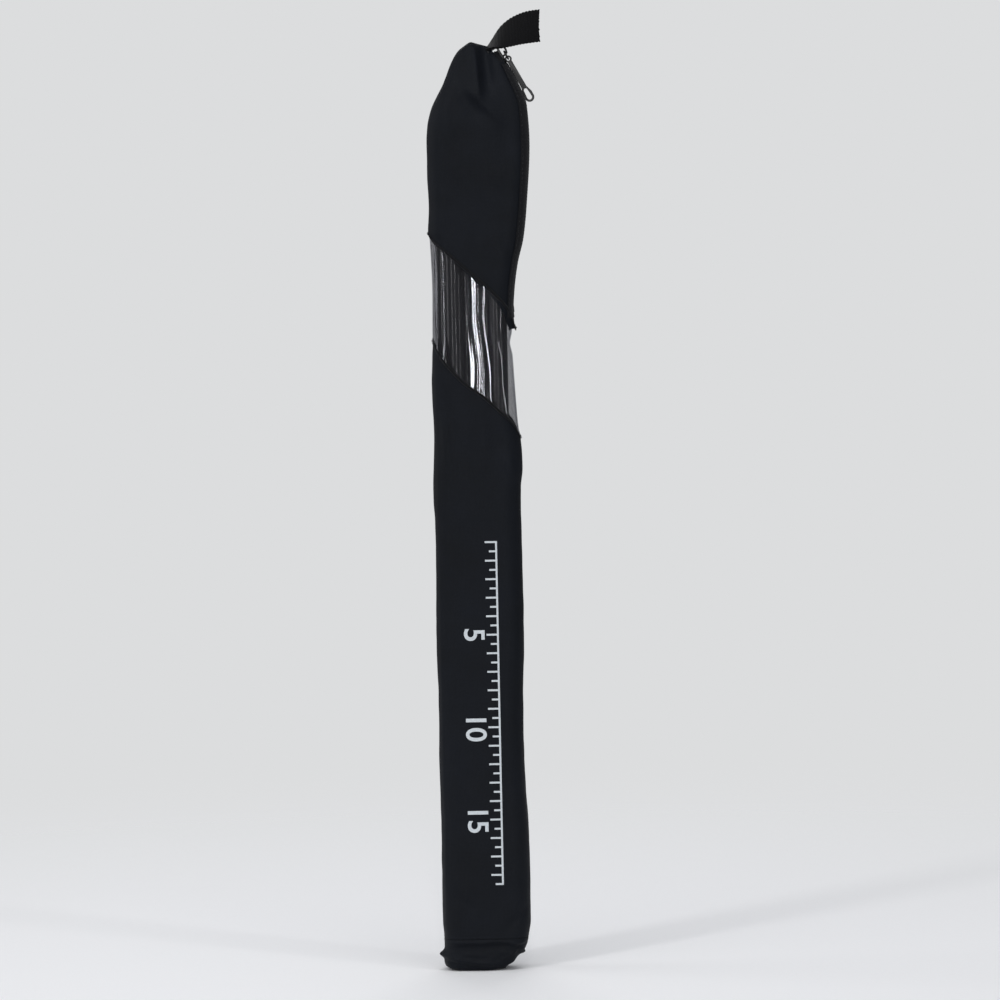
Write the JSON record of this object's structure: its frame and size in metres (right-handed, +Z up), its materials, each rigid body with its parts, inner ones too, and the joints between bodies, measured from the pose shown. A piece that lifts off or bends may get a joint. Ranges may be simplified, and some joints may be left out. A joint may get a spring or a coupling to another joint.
{
  "type": "avalanche probe",
  "caption": "Folded avalanche probe on a tension cable, in a slim zipped carry bag with a slanted clear window, a webbing tab and a flat foot.",
  "frame": {"origin": "on the surface that the bag's flat foot stands on, under the middle of the whole box, which reaches further right than left because of the webbing tab", "axes": "+Z up along the bag from its foot to its hood, -Y the front, +X to the right of the front, the zip's side"},
  "size_m": [0.0628, 0.0266, 0.518],
  "materials": {
    "coated_nylon": "fine woven nylon with a dull coating",
    "binding": "folded and stitched binding",
    "clear_film": "clear glossy PVC film",
    "webbing": "flat woven webbing, cut end",
    "zip_tape": "woven zip tape",
    "zip_coil": "nylon coil teeth",
    "black_metal": "black painted die-cast zinc",
    "carbon": "clear-coated carbon fibre tube",
    "aluminium": "turned aluminium",
    "steel": "stranded and turned steel",
    "red_anodised": "red anodised aluminium",
    "loop_cord": "braided cord"
  },
  "bodies": {
    "bag": {"bag_foot": "coated_nylon", "foot_binding": "binding", "lower_sleeve": "coated_nylon", "window_lower_hem": "binding", "window_film": "clear_film", "window_upper_hem": "binding", "hood": "coated_nylon", "webbing_tab": "webbing", "zip_tape_front": "zip_tape", "zip_tape_back": "zip_tape", "zip_coil_front": "zip_coil", "zip_coil_back": "zip_coil", "zip_bottom_stop": "black_metal"},
    "zip_slider": {"zip_slider": "black_metal"},
    "pull_link": {"pull_link": "black_metal"},
    "pull_tab": {"pull_tab": "black_metal"},
    "probe": {"handle_section": "carbon", "section_2": "carbon", "section_3": "carbon", "section_4": "carbon", "section_5": "carbon", "tip_section": "carbon", "ferrule_1": "aluminium", "ferrule_2": "aluminium", "ferrule_3": "aluminium", "ferrule_4": "aluminium", "ferrule_5": "aluminium", "probe_tip": "aluminium", "tension_cable": "steel", "lock_collar": "red_anodised"},
    "cable_pull": {"cable_stop": "steel", "pull_loop": "loop_cord"},
    "lock_button": {"lock_button": "aluminium"}
  },
  "joints": [
    {"name": "zip_travel", "type": "hinge", "parent": "bag", "child": "zip_slider", "pos_m": [-0.22494, 0, 0.41806], "axis": [0, 1, 0], "range_deg": [0, 30], "deforming": ["zip_coil_front", "zip_coil_back", "zip_tape_front", "zip_tape_back"]},
    {"name": "link_swing", "type": "hinge", "parent": "zip_slider", "child": "pull_link", "pos_m": [0.01198, 0, 0.49458], "axis": [0, -1, 0], "range_deg": [0, 35]},
    {"name": "tab_swing", "type": "hinge", "parent": "pull_link", "child": "pull_tab", "pos_m": [0.01414, 0, 0.49052], "axis": [0, -1, 0], "range_deg": [0, 40]},
    {"name": "probe_slack", "type": "slide", "parent": "bag", "child": "probe", "axis": [0, 0, 1], "range_m": [0, 0.005]},
    {"name": "cable_pull", "type": "slide", "parent": "probe", "child": "cable_pull", "axis": [0, 0, 1], "range_m": [0, 0.006], "deforming": ["tension_cable"]},
    {"name": "button_press", "type": "slide", "parent": "probe", "child": "lock_button", "axis": [0, 1, 0], "range_m": [0, 0.0012], "stiffness_N_per_m": 250}
  ]
}
